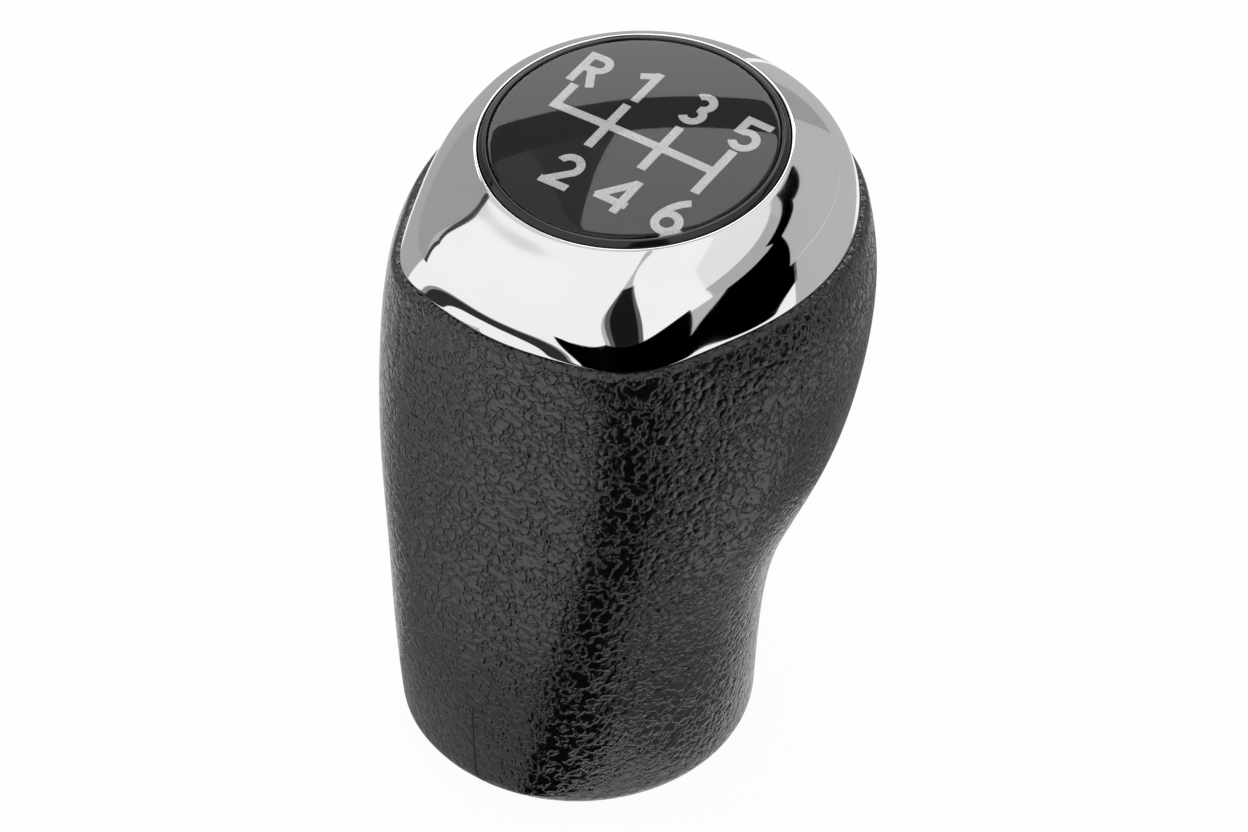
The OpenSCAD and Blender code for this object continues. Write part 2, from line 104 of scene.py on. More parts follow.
# %% Spline
def bends(rows):
    """Second derivatives of the natural spline through rows that are one step apart."""
    n, width = len(rows), len(rows[0])
    sweep = []
    for i in range(1, n - 1):
        pull = [6 * (rows[i - 1][k] - 2 * rows[i][k] + rows[i + 1][k]) for k in range(width)]
        if sweep:
            factor, held = sweep[-1]
            c = 1 / (4 - factor)
            sweep.append((c, [c * (pull[k] - held[k]) for k in range(width)]))
        else:
            sweep.append((1 / 4, [p / 4 for p in pull]))
    out = [[0.0] * width for _ in rows]
    for i in range(n - 2, 0, -1):
        c, held = sweep[i - 1]
        out[i] = [held[k] - c * out[i + 1][k] for k in range(width)]
    return out


def along(rows, bend, u):
    """The row at u, which counts the stations from 0."""
    i = min(int(u), len(rows) - 2)
    t = u - i
    s = 1 - t
    return [
        rows[i][k] * s + rows[i + 1][k] * t
        + bend[i][k] * (s ** 3 - s) / 6 + bend[i + 1][k] * (t ** 3 - t) / 6
        for k in range(len(rows[0]))
    ]


GRIP_BENDS = bends(GRIP)
print("halfway from swell to belly:", [round(v, 2) for v in along(GRIP, GRIP_BENDS, 2.5)])

# %% [markdown]
# ## The grip at any height
#
# Walls lie inside the outline, so a section can be drawn in by a wall. At the foot the
# outline is drawn in by a quarter circle as well, which the fingers feel as a round
# edge. The height is found by halving, because the spline runs along the stations.

# %% Grip section
FOOT_ROUND = 3.0
HALVINGS = 30


def drawn_in(row, by):
    return [row[0], row[1] - by, row[2] - by, row[3] + by] + row[4:]


def at_height(row, z):
    return [z] + row[1:]


def grip_row(z, by=0.0):
    """The grip's section at height z, drawn in by a wall and by the foot's rounding."""
    low, high = 0.0, len(GRIP) - 1.0
    for _ in range(HALVINGS):
        middle = (low + high) / 2
        if along(GRIP, GRIP_BENDS, middle)[0] < z:
            low = middle
        else:
            high = middle
    if z < FOOT_ROUND:
        by += FOOT_ROUND - math.sqrt(FOOT_ROUND ** 2 - (FOOT_ROUND - max(z, 0)) ** 2)
    return drawn_in(at_height(along(GRIP, GRIP_BENDS, (low + high) / 2), z), by)


print("belly section:", [round(v, 2) for v in grip_row(BELLY[0])])

# %% [markdown]
# ## A section's points
#
# A section is two half ellipses, with a soft corner on either side of the rear, which
# the palm feels and which catches the dark of the room in the photo. It is walked round
# by angle, so the rings of a shell have their points one above the other.

# %% Rings
CORNER_ANGLE = 32.5
CORNER_SPREAD = 10.0
REAR_ANGLE = 270
LEAST = 1e-5
RING_POINTS = 128
ROUND = [2 * math.pi * i / RING_POINTS for i in range(RING_POINTS)]


def section_point(row, angle, out=0.0):
    """A point of a section in metres, at an angle from +X, moved out by a little."""
    z, half, front, rear, lead, slope, corner = row
    half = max(half, LEAST)
    middle = (front + rear) / 2 + lead
    c, s = math.cos(angle), math.sin(angle)
    reach = max(front - middle if s >= 0 else middle - rear, LEAST)
    off = (abs(abs(math.degrees(angle) - REAR_ANGLE) - CORNER_ANGLE)) / CORNER_SPREAD
    r = 1 / math.hypot(c / half, s / reach) + corner * math.exp(-off ** 2 / 2) + out
    tilt = math.radians(slope)
    return Vector((r * c, middle + r * s * math.cos(tilt), z + r * s * math.sin(tilt))) * MM


def ring(row, angles=ROUND):
    return [section_point(row, a) for a in angles]


def level_circle(r, z, y=0.0, angles=ROUND):
    return ring([z, r, y + r, y - r, 0, 0, 0], angles)


print("belly ring:", len(ring(BELLY)), "points")

# %% [markdown]
# ## The last touch on a mesh
#
# Each new mesh gets the same last touch: doubled points are merged, so that seams and
# poles are closed, and the faces are turned outwards. A subdivision surface smooths
# it, and it is applied, so the mesh is what the viewer sees.

# %% Mesh helper
SMOOTH_ANGLE = 40
SAME_PLACE = 1e-7


def bare():
    """Nothing selected and nothing in edit mode, ready for the next piece."""
    if bpy.context.object and bpy.context.object.mode != "OBJECT":
        bpy.ops.object.mode_set(mode="OBJECT")
    bpy.ops.object.select_all(action="DESELECT")


def finish_mesh(piece, levels):
    """Doubles merged, faces outwards, smoothed and shaded."""
    bare()
    bpy.context.view_layer.objects.active = piece
    piece.select_set(True)
    bpy.ops.object.mode_set(mode="EDIT")
    bpy.ops.mesh.select_all(action="SELECT")
    bpy.ops.mesh.remove_doubles(threshold=SAME_PLACE)
    bpy.ops.mesh.normals_make_consistent(inside=False)
    bpy.ops.object.mode_set(mode="OBJECT")
    smooth = piece.modifiers.new("smooth", "SUBSURF")
    smooth.levels = smooth.render_levels = levels
    bpy.ops.object.modifier_apply(modifier=smooth.name)
    bpy.ops.object.shade_smooth_by_angle(angle=math.radians(SMOOTH_ANGLE))
    print(piece.name, len(piece.data.polygons), "faces")


print("edges sharper than", SMOOTH_ANGLE, "degrees stay sharp")

# %% [markdown]
# ## From rings to a mesh
#
# A tube of rings is quick to make by hand: a circle is added, its edge is extruded
# once for every ring, and each ring is then laid on its section. Where the piece is a
# closed shell, the last ring is bridged to the first.


# %% Loft helper
def loft(name, rings, closed=True, levels=1):
    """A shell through the rings, smoothed by so many levels."""
    bare()
    count = len(rings[0])
    bpy.ops.mesh.primitive_circle_add(vertices=count, radius=1.0, location=(0, 0, 0))
    piece = bpy.context.object
    piece.name = piece.data.name = name
    bpy.ops.object.mode_set(mode="EDIT")
    bpy.ops.mesh.select_all(action="SELECT")
    for _ in rings[1:]:
        bpy.ops.mesh.extrude_edges_move(TRANSFORM_OT_translate={"value": (0, 0, 1)})
    bpy.ops.object.mode_set(mode="OBJECT")
    if closed:
        ends = (0, len(rings) - 1)
        for e in piece.data.edges:
            levels_of = {round(piece.data.vertices[v].co.z) for v in e.vertices}
            e.select = levels_of in ({ends[0]}, {ends[1]})
        for v in piece.data.vertices:
            v.select = round(v.co.z) in ends
        bpy.ops.object.mode_set(mode="EDIT")
        bpy.ops.mesh.select_mode(type="EDGE")
        bpy.ops.mesh.bridge_edge_loops()
        bpy.ops.object.mode_set(mode="OBJECT")
    start = math.atan2(piece.data.vertices[0].co.y, piece.data.vertices[0].co.x)
    for v in piece.data.vertices:
        turn = (math.atan2(v.co.y, v.co.x) - start) / (2 * math.pi) * count
        v.co = rings[round(v.co.z)][round(turn) % count]
    finish_mesh(piece, levels)
    return piece


def steps(first, last, count):
    """count values from first to last, both included."""
    return [first + (last - first) * k / (count - 1) for k in range(count)]


print("five even steps:", steps(0, 1, 5))

# %% [markdown]
# ## The mould line
#
# Where the two halves of the mould met, a hair line is left behind, in the middle of
# the rear, clearest near the foot, where it steps aside. It is a groove a tenth of a
# millimetre deep, so five points of each ring lie close together on it, and only the
# middle one of them is pressed in.

# %% Mould line
SEAM_AT = math.radians(REAR_ANGLE)
SEAM_HALF = math.radians(0.45)
SEAM_DEPTH = 0.11
SEAM_CLEAR_Z = 14.0
SEAM_FADE_Z = 17.0
SEAM_STEP_Z = 2.4
SEAM_STEP = math.radians(2.2)
STEP_EASE = 0.2
SEAM_POINTS = (-2.5, -1, 0, 1, 2.5)
SEAM_ROOM = 1.5 * 2 * math.pi / RING_POINTS


def seam_middle(z):
    aside = SEAM_STEP * min(max((SEAM_STEP_Z + STEP_EASE - z) / (2 * STEP_EASE), 0), 1)
    return SEAM_AT + aside


def seam_angles(z):
    """The ring's angles, with five close together on the seam."""
    near = [seam_middle(z) + SEAM_HALF * k for k in SEAM_POINTS]
    rest = [a for a in ROUND if abs(a - SEAM_AT) > SEAM_ROOM]
    return sorted(rest + near)


def skin_ring(z, by=0.0, cut=True):
    """The skin's ring at a height, with the groove pressed in where it is cut."""
    row = grip_row(z, by)
    depth = SEAM_DEPTH * min(max((SEAM_FADE_Z - z) / (SEAM_FADE_Z - SEAM_CLEAR_Z), 0.0), 1)
    return [
        section_point(row, a, -depth if cut and abs(a - seam_middle(z)) < SEAM_HALF / 2 else 0.0)
        for a in seam_angles(z)
    ]


def sole_circle(r, z):
    return level_circle(r, z, angles=seam_angles(z))


print("a ring of the skin has", len(skin_ring(0)), "points")

# %% [markdown]
# ## The skin
#
# The soft skin is one moulding. It turns in under the foot with a full round, swells
# with the knob and rolls over at the top, where it leaves a fine lit edge beside the
# bezel. It could be sculpted, but a loft keeps it on the core that carries it. The
# rings lie close where it turns, and go up the outside and down the inside.

# %% Skin
SKIN_T = 2.0
SOLE_T = 1.6
SOLE_OPEN_R = 14.5
SOLE_EASE = 0.3
LIP_ROUND = 0.8
HAIR = 0.01
EASE = 0.1
FOOT_TURNS = (0, 10, 20, 30, 42, 54, 66, 78)
LIP_TURNS = (20, 40, 60, 78, 90)

foot_zs = [FOOT_ROUND * (1 - math.cos(math.radians(a))) for a in FOOT_TURNS]
side_zs = steps(FOOT_ROUND, RIM_Z - LIP_ROUND, 44)
lip = [math.radians(a) for a in LIP_TURNS]

skin_rings = (
    [sole_circle(SOLE_OPEN_R, 0.0), sole_circle(SOLE_OPEN_R + SOLE_EASE, 0.0)]
    + [skin_ring(z, HAIR) for z in foot_zs + side_zs]
    + [skin_ring(RIM_Z - LIP_ROUND * (1 - math.sin(a)), LIP_ROUND * (1 - math.cos(a)) + HAIR)
       for a in lip]
    + [skin_ring(RIM_Z, SKIN_T - EASE, False), skin_ring(RIM_Z - EASE, SKIN_T, False)]
    + [skin_ring(z, SKIN_T, False) for z in steps(RIM_Z - 1, SOLE_T + 1, 24)]
    + [skin_ring(SOLE_T, SKIN_T, False), sole_circle(SOLE_OPEN_R, SOLE_T)]
)
grip_skin = loft("grip_skin", skin_rings)
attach(grip_skin, "root")
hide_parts("grip_cover")

# %% [markdown]
# ## The bezel's outline
#
# The bezel is a plated casting. From its lower edge it rises almost upright, rounds
# over a soft shoulder and runs up to a narrow bright edge around the badge. Three
# stations and a spline give that face, and circles that tilt with the badge give its
# seat. Below, a spigot enters the core.

# %% Bezel outline
BEZEL_STEP = 0.8
BEZEL_LIP = 0.35
BADGE_R = 17.6
BADGE_GAP = 0.1
BADGE_Y = 11.7
BADGE_Z = RIM_Z + 10.4
BADGE_TILT = 4.8
DISH_R = BADGE_R + BADGE_GAP
TOP_R = DISH_R + BEZEL_LIP
SHOULDER = [RIM_Z + 6.3, 22.4, 35.9, -14.0, 4.0, 2.0, 0.7]
CROWN = [BADGE_Z, TOP_R, BADGE_Y + TOP_R, BADGE_Y - TOP_R, 0.0, BADGE_TILT, 0.0]
BEZEL = [drawn_in(RIM, BEZEL_STEP), SHOULDER, CROWN]
BEZEL_BENDS = bends(BEZEL)
SPIGOT_L = 3.0


def badge_circle(r, up):
    """A circle around the badge's middle, up from its edge along its own axis."""
    tilt = math.radians(BADGE_TILT)
    y, z = BADGE_Y - up * math.sin(tilt), BADGE_Z + up * math.cos(tilt)
    return ring([z, r, y + r, y - r, 0, BADGE_TILT, 0])


def bezel_ring(u, by=0.0):
    return ring(drawn_in(along(BEZEL, BEZEL_BENDS, u), by))


def spigot_end(by):
    """The spigot's lower edge, clear of the core in front and free to go in from above."""
    top, low = drawn_in(RIM, by), grip_row(RIM_Z - SPIGOT_L, by)
    inside = [min(top[1], low[1]), min(top[2], low[2]), max(top[3], low[3])]
    return ring([low[0]] + inside + low[4:])


print("the bezel is", round(BADGE_Z - RIM_Z, 1), "mm tall and opens", 2 * DISH_R, "mm")

# %% [markdown]
# ## The bezel
#
# Chrome has no colour of its own, so its shape is all that makes it: the rings lie
# close together where the face turns, both its edges get a small round, and it is
# smoothed twice. The rings go up the face, down into the seat and back underneath.

# %% Bezel
BEZEL_WALL = 1.8
SEAT_D = 2.4
EDGE_ROUND = 0.18
RECESS_R = 12.0
FLOOR_TOP = BADGE_Z - SEAT_D - 2.8
FLOOR_LOW = FLOOR_TOP - 1.6
FLOOR_HOLE_R = 4.0
SPIGOT_OUT = 4.6
SPIGOT_IN = 6.0
SEAT_LOW = -SEAT_D - BEZEL_WALL

bezel_rings = (
    [ring(drawn_in(BEZEL[0], EDGE_ROUND)), ring(drawn_in(at_height(BEZEL[0], RIM_Z + 0.06), 0.05))]
    + [bezel_ring(u) for u in steps(0.03, 1.985, 28)]
    + [badge_circle(TOP_R - 0.12, 0.03), badge_circle(DISH_R + EASE, 0.01)]
    + [badge_circle(DISH_R, -EASE), badge_circle(DISH_R, -SEAT_D + EASE)]
    + [badge_circle(DISH_R - EASE, -SEAT_D), badge_circle(RECESS_R, -SEAT_D)]
    + [level_circle(r, FLOOR_TOP, BADGE_Y) for r in (RECESS_R, FLOOR_HOLE_R)]
    + [level_circle(r, FLOOR_LOW, BADGE_Y) for r in (FLOOR_HOLE_R, RECESS_R + BEZEL_WALL)]
    + [badge_circle(r + BEZEL_WALL, SEAT_LOW) for r in (RECESS_R, DISH_R)]
    + [bezel_ring(0.8, BEZEL_WALL), bezel_ring(0.4, BEZEL_WALL)]
    + [ring(drawn_in(at_height(RIM, RIM_Z + BEZEL_WALL), SPIGOT_IN))]
    + [spigot_end(SPIGOT_IN), spigot_end(SPIGOT_OUT), ring(drawn_in(RIM, SPIGOT_OUT))]
)
bezel = loft("plated_bezel", bezel_rings, levels=2)
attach(bezel, "root")
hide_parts("chrome_bezel")

# %% [markdown]
# ## The badge's plate
#
# A gloss black plate sits in the bezel. Its bevelled ring stands a little proud and
# catches a thin line of light all round. It is a turned form, so its profile is given
# from the middle of its back, out and over the ring, to the middle of its pocket.

# %% Badge plate
RING_W = 1.0
RING_RISE = 0.45
RING_BEVEL = 0.5
BADGE_T = 2.0
POCKET_D = 0.6
POCKET_R = BADGE_R - RING_W
HALFWAY_R = 6.0

plate_profile = (
    (0.0, -BADGE_T), (HALFWAY_R, -BADGE_T), (BADGE_R - EASE, -BADGE_T), (BADGE_R, -BADGE_T + EASE),
    (BADGE_R, -EASE), (BADGE_R - 0.02, 0.0), (BADGE_R - EASE, EASE),
    (BADGE_R - RING_BEVEL + 0.06, RING_RISE - 0.07), (BADGE_R - RING_BEVEL - 0.04, RING_RISE),
    (BADGE_R - 0.7, RING_RISE), (POCKET_R + EASE, RING_RISE),
    (POCKET_R, RING_RISE - EASE), (POCKET_R, -POCKET_D + EASE), (POCKET_R - EASE, -POCKET_D),
    (HALFWAY_R, -POCKET_D), (0.0, -POCKET_D),
)
badge_ring = loft("badge_ring", [badge_circle(r, up) for r, up in plate_profile], closed=False)
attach(badge_ring, "root")
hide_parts("badge_plate")

# %% [markdown]
# ## The lens
#
# Inside the ring lies the lens, a low dome of clear resin over the printed foil. The
# dome is less than a millimetre high, yet it bends every reflection. So it is a piece
# of a large ball, made with rings that close at its middle.

# %% Lens
LENS_R = POCKET_R - 0.05
LENS_LOW = -0.3
LENS_EDGE = 0.45
DOME_RISE = 0.9
BALL_R = (LENS_R ** 2 + DOME_RISE ** 2) / (2 * DOME_RISE)
BRIM = 0.06
BRIM_IN = 0.22
BRIM_DIP = 0.01


def dome_up(r):
    return LENS_EDGE + DOME_RISE - BALL_R + math.sqrt(BALL_R ** 2 - r ** 2)


lens_profile = (
    [(0.0, LENS_LOW), (8.0, LENS_LOW), (LENS_R - BRIM, LENS_LOW), (LENS_R, LENS_LOW + BRIM)]
    + [(LENS_R, LENS_EDGE - BRIM_IN), (LENS_R - BRIM, LENS_EDGE - BRIM)]
    + [(LENS_R - BRIM_IN, dome_up(LENS_R - BRIM_IN) - BRIM_DIP)]
    + [(r, dome_up(r)) for r in (16.0, 15.2, 14.0, 12.0, 10.0, 8.0, 6.0, 4.0, 2.0, 0.0)]
)
badge_lens = loft("badge_lens", [badge_circle(r, up) for r, up in lens_profile], closed=False)
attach(badge_lens, "root")
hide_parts("dome_lens")

# %% [markdown]
# ## Materials
#
# Every finish is made of nodes on Object coordinates, which are metres here, so a
# grain has its real size wherever the knob stands. A few short helpers add nodes and
# join them, as one would by hand in the shader editor.


# %% Material helpers
def feed(tree, socket, value):
    """A link or a plain value, into a socket."""
    if hasattr(value, "is_output"):
        tree.links.new(value, socket)
    else:
        socket.default_value = value


def tree_node(tree, kind, **inputs):
    """A node with its inputs by name."""
    node = tree.nodes.new(kind)
    for key, value in inputs.items():
        feed(tree, node.inputs[key.replace("_", " ")], value)
    return node


def in_turn(tree, kind, operation, *values):
    """What a math node makes of its inputs, given in turn."""
    node = tree.nodes.new(kind)
    node.operation = operation
    for socket, value in zip(node.inputs, values):
        feed(tree, socket, value)
    return node.outputs[0]


def math_node(tree, operation, *values):
    return in_turn(tree, "ShaderNodeMath", operation, *values)


print("helpers for nodes are ready")

# %% [markdown]
# ## What a finish is
#
# A finish is a material with one Principled shader, which has a socket for most of what
# a surface does. Plain values are set on its sockets, and what changes over the surface
# is linked to them. A bump gives the small relief that is too fine for the mesh.


# %% Finish
class Finish:
    """A material with a Principled shader and short ways to add nodes to it."""

    def __init__(self, name, color, rough, metal=0.0):
        self.material = bpy.data.materials.new(name)
        self.material.use_nodes = True
        self.tree = self.material.node_tree
        self.shader = self.tree.nodes["Principled BSDF"]
        self.set("Base Color", (*color, 1))
        self.set("Roughness", rough)
        self.set("Metallic", metal)

    def set(self, socket, value):
        feed(self.tree, self.shader.inputs[socket], value)

    def add(self, kind, **inputs):
        return tree_node(self.tree, kind, **inputs)

    def group(self, group, **inputs):
        node = self.add("ShaderNodeGroup")
        node.node_tree = group
        feed(self.tree, node.inputs["Place"], self.add("ShaderNodeTexCoord").outputs["Object"])
        for key, value in inputs.items():
            feed(self.tree, node.inputs[key], value)
        return node

    def bump(self, height, distance):
        self.set("Normal", self.add("ShaderNodeBump", Distance=distance, Height=height).outputs[0])

    def mix(self, share, first, second):
        """The first shader where the share is 0, and the second where it is 1."""
        node = self.tree.nodes.new("ShaderNodeMixShader")
        for socket, value in zip(node.inputs, (share, first, second)):
            feed(self.tree, socket, value)
        return node.outputs[0]

    def show(self, shader):
        feed(self.tree, self.tree.nodes["Material Output"].inputs["Surface"], shader)


def paint(piece, finish):
    piece.data.materials.clear()
    piece.data.materials.append(finish.material)
    print(piece.name, "is painted with", finish.material.name)


print("each finish has one Principled shader")

# %% [markdown]
# ## Moulded grain
#
# The skin copies leather: rounded pebbles of well under a millimetre, parted by
# creases that meander. Smooth Voronoi cells give the pebbles. The creases lie where a
# cloudy noise crosses its middle value, which draws long winding lines, as wrinkles
# are. Noise bends the cells first, or they would look like tiles.

# %% Grain group
FLOAT, VECTOR, COLOR = "NodeSocketFloat", "NodeSocketVector", "NodeSocketColor"


def new_group(name, inputs, outputs):
    group = bpy.data.node_groups.new(name, "ShaderNodeTree")
    for key, kind, value in inputs:
        socket = group.interface.new_socket(key, in_out="INPUT", socket_type=kind)
        if value is not None:
            socket.default_value = value
    for key, kind in outputs:
        group.interface.new_socket(key, in_out="OUTPUT", socket_type=kind)
    print("group", name, "gives", ", ".join(key for key, kind in outputs))
    return group, group.nodes.new("NodeGroupInput"), group.nodes.new("NodeGroupOutput")


grain, g_in, g_out = new_group(
    "moulded grain",
    [("Place", VECTOR, None), ("Pebbles", FLOAT, 1150.0), ("Wander", FLOAT, 0.0006),
     ("Creases", FLOAT, 680.0), ("Crease Width", FLOAT, 0.06), ("Fine", FLOAT, 0.11)],
    [("Height", FLOAT)],
)
place = g_in.outputs["Place"]
cloud = tree_node(grain, "ShaderNodeTexNoise", Vector=place, Scale=600.0, Detail=2.0)
centred = in_turn(grain, "ShaderNodeVectorMath", "SUBTRACT", cloud.outputs["Color"],
                  (0.5, 0.5, 0.5))
pushed = tree_node(grain, "ShaderNodeVectorMath")
pushed.operation = "SCALE"
feed(grain, pushed.inputs[0], centred)
feed(grain, pushed.inputs["Scale"], g_in.outputs["Wander"])
bent = in_turn(grain, "ShaderNodeVectorMath", "ADD", place, pushed.outputs[0])

PEBBLE_HEIGHT = 0.6
pebbles = tree_node(grain, "ShaderNodeTexVoronoi", Vector=bent, Scale=g_in.outputs["Pebbles"])
reach = pebbles.outputs["Distance"]
low = math_node(grain, "MULTIPLY", PEBBLE_HEIGHT, math_node(grain, "MULTIPLY", reach, reach))

wrinkle = tree_node(grain, "ShaderNodeTexNoise", Vector=bent, Scale=g_in.outputs["Creases"],
                    Detail=1.5, Roughness=0.55)
from_middle = math_node(grain, "ABSOLUTE",
                        math_node(grain, "SUBTRACT", wrinkle.outputs["Fac"], 0.5))
side = tree_node(grain, "ShaderNodeMapRange", Value=from_middle)
side.interpolation_type = "SMOOTHSTEP"
feed(grain, side.inputs["From Max"], g_in.outputs["Crease Width"])

fine = tree_node(grain, "ShaderNodeTexNoise", Vector=place, Scale=3600.0, Detail=2.0)
speck = math_node(grain, "MULTIPLY", fine.outputs["Fac"], g_in.outputs["Fine"])
height = math_node(grain, "ADD", side.outputs[0], math_node(grain, "SUBTRACT", speck, low))
feed(grain, g_out.inputs["Height"], height)

# %% [markdown]
# ## Uneven surfaces
#
# No real surface is even: polish, print and paint all vary a little from place to
# place. One group draws a soft cloud and gives a share between a low and a high value,
# for a roughness, and a mix of two colours that follows the same cloud.

# %% Uneven group
CLOUD_LOW, CLOUD_HIGH = 0.3, 0.7

uneven, u_in, u_out = new_group(
    "uneven",
    [("Place", VECTOR, None), ("Scale", FLOAT, 300.0), ("Detail", FLOAT, 3.0),
     ("Low", FLOAT, 0.3), ("High", FLOAT, 0.4),
     ("Dark", COLOR, (0, 0, 0, 1)), ("Light", COLOR, (1, 1, 1, 1))],
    [("Rough", FLOAT), ("Tone", COLOR), ("Height", FLOAT)],
)
soft = tree_node(uneven, "ShaderNodeTexNoise", Vector=u_in.outputs["Place"],
                 Scale=u_in.outputs["Scale"], Detail=u_in.outputs["Detail"])
span = {"Value": soft.outputs["Fac"], "From_Min": CLOUD_LOW, "From_Max": CLOUD_HIGH}
spread = tree_node(uneven, "ShaderNodeMapRange", To_Min=u_in.outputs["Low"],
                   To_Max=u_in.outputs["High"], **span)
share = tree_node(uneven, "ShaderNodeMapRange", **span)
tone = tree_node(uneven, "ShaderNodeMix")
tone.data_type = "RGBA"
for key, socket in (("Factor", share.outputs[0]), ("A", u_in.outputs["Dark"]),
                    ("B", u_in.outputs["Light"])):
    feed(uneven, tone.inputs[key], socket)
for key, socket in (("Rough", spread.outputs[0]), ("Tone", tone.outputs["Result"]),
                    ("Height", soft.outputs["Fac"])):
    feed(uneven, u_out.inputs[key], socket)

# %% [markdown]
# ## A finish that drifts
#
# With that group in it, a finish has a smoothest and a roughest value and a darker and
# a lighter tone, and wanders between them. How fast it wanders is set for each: slowly
# on poured resin and plating, quickly on rubber, foam and print.


# %% Finish helper
def finish_of(name, dark, light, low, high, metal=0.0, scale=300.0, detail=3.0, relief=0.0):
    """A finish whose colour and roughness drift between two values each."""
    finish = Finish(name, light, high, metal)
    cloud = finish.group(uneven, Scale=scale, Detail=detail, Low=low, High=high,
                         Dark=(*dark, 1), Light=(*light, 1))
    finish.set("Roughness", cloud.outputs["Rough"])
    finish.set("Base Color", cloud.outputs["Tone"])
    if relief:
        finish.bump(cloud.outputs["Height"], relief)
    return finish


def dress(piece, name, *values, **more):
    finish = finish_of(name, *values, **more)
    paint(piece, finish)
    return finish


print("finishes drift between two tones and two roughnesses")

# %% [markdown]
# ## The skin's finish
#
# Grain does not cross the mould line. There the skin is smooth and dull, as the two
# halves of the mould left a little flash, which was trimmed off. So a mask follows the
# line, takes the grain away and leaves a shallow, rough groove.

# %% Skin finish
SEAM_LINE = 0.13
SEAM_ASIDE = 0.8
SEAM_ROUGH = 0.9
GRAIN_DEPTH = 0.0002


def seam_mask(tree):
    """1 on the mould line at the rear of the foot, and 0 beside it."""
    coords = tree_node(tree, "ShaderNodeTexCoord")
    axes = tree_node(tree, "ShaderNodeSeparateXYZ", Vector=coords.outputs["Object"])
    across, along_y, height = axes.outputs
    below_step = math_node(tree, "LESS_THAN", height, SEAM_STEP_Z * MM)
    aside = math_node(tree, "MULTIPLY", below_step, SEAM_ASIDE * MM)
    off = math_node(tree, "ABSOLUTE", math_node(tree, "SUBTRACT", across, aside))
    line = math_node(tree, "LESS_THAN", off, SEAM_LINE * MM)
    rear = math_node(tree, "LESS_THAN", along_y, 0.0)
    low = math_node(tree, "LESS_THAN", height, SEAM_CLEAR_Z * MM)
    return math_node(tree, "MULTIPLY", line, math_node(tree, "MULTIPLY", rear, low))


skin = dress(grip_skin, "grained skin", (0.003, 0.003, 0.0032), (0.005, 0.005, 0.0052),
             0.16, 0.22, scale=1400.0)
skin.set("Specular IOR Level", 0.85)
on_seam = seam_mask(skin.tree)
polish = skin.shader.inputs["Roughness"].links[0].from_socket
flash = math_node(skin.tree, "MULTIPLY", on_seam, SEAM_ROUGH)
skin.set("Roughness", math_node(skin.tree, "MAXIMUM", polish, flash))
off_seam = math_node(skin.tree, "SUBTRACT", 1.0, on_seam)
relief = math_node(skin.tree, "MULTIPLY", skin.group(grain).outputs["Height"], off_seam)
skin.bump(math_node(skin.tree, "SUBTRACT", relief, on_seam), GRAIN_DEPTH)

# %% [markdown]
# ## Plating, gloss, foil and print
#
# The plating is almost a mirror, with a trace of polish marks. The badge's plate is
# gloss black, and the foil in its pocket is matt, because the resin over it has the
# gloss. The figures are printed in a pale grey that is a little worn and speckled.

# %% Bezel and badge finishes
dress(bezel, "bright plating", (0.84, 0.845, 0.85), (0.88, 0.885, 0.89), 0.025, 0.05,
      metal=1.0, scale=90.0)
dress(badge_ring, "gloss black", (0.006, 0.006, 0.0065), (0.009, 0.009, 0.0095), 0.05, 0.09)
foil = dress(nodes["badge_foil"], "black foil", (0.004, 0.004, 0.0045),
             (0.006, 0.006, 0.0065), 0.5, 0.6)
ink = dress(nodes["shift_print"], "grey print", (0.5, 0.505, 0.51), (0.84, 0.845, 0.85),
            0.5, 0.7, scale=6000.0, detail=4.0)
for under_resin in (foil, ink):
    under_resin.set("Specular IOR Level", 0.0)

# %% [markdown]
# ## Finishes that the hand never meets
#
# The core and the cap are plain mouldings with a faint spark eroded face, the bush is
# dull rubber, the insert is turned brass, the screws are zinc plated and the tape is a
# pale foam. They show from below, or when the knob is taken apart.

# %% Finishes inside
dress(nodes["grip_core"], "core plastic", (0.028, 0.028, 0.03), (0.04, 0.04, 0.042),
      0.45, 0.6, scale=900.0, relief=0.00004)
dress(nodes["base_cap"], "cap plastic", (0.016, 0.016, 0.017), (0.024, 0.024, 0.025),
      0.4, 0.55, scale=2200.0, relief=0.00005)
dress(nodes["lever_bush"], "bush rubber", (0.012, 0.012, 0.012), (0.02, 0.02, 0.02),
      0.6, 0.8, scale=1500.0, relief=0.00004)
dress(nodes["lever_insert"], "turned brass", (0.66, 0.46, 0.18), (0.74, 0.54, 0.24),
      0.2, 0.35, metal=1.0, scale=500.0)
dress(nodes["bezel_screws"], "zinc plated steel", (0.5, 0.51, 0.53), (0.6, 0.61, 0.62),
      0.25, 0.4, metal=1.0, scale=1200.0)
dress(nodes["badge_tape"], "adhesive foam", (0.66, 0.64, 0.57), (0.78, 0.76, 0.69),
      0.75, 0.9, scale=3000.0, relief=0.00005)

# %% [markdown]
# ## Clear resin
#
# The lens is poured resin. It bends the light like glass, so the print below it looks
# a little raised. Lamps must still reach the print, and a shadow ray can't be bent, so
# for shadow rays alone the resin is plainly transparent.

# %% Clear resin
RESIN_TONES = (0.97, 0.975, 0.98), (1, 1, 1)
RESIN_SCALE = 120.0

resin = dress(badge_lens, "clear resin", *RESIN_TONES, 0.012, 0.028, scale=RESIN_SCALE)
resin.set("Transmission Weight", 1.0)
resin.set("IOR", 1.5)
clear = resin.add("ShaderNodeBsdfTransparent")
path = resin.add("ShaderNodeLightPath")
resin.show(resin.mix(path.outputs["Is Shadow Ray"], resin.shader.outputs[0], clear.outputs[0]))

# %% [markdown]
# ## Where the resin is bonded
#
# The resin is poured onto the foil, so there is no air and no second mirror below it.
# Its underside gets a finish of its own that lets all light pass.

# %% Underside of the resin
BONDED_BELOW = LENS_EDGE - 0.3

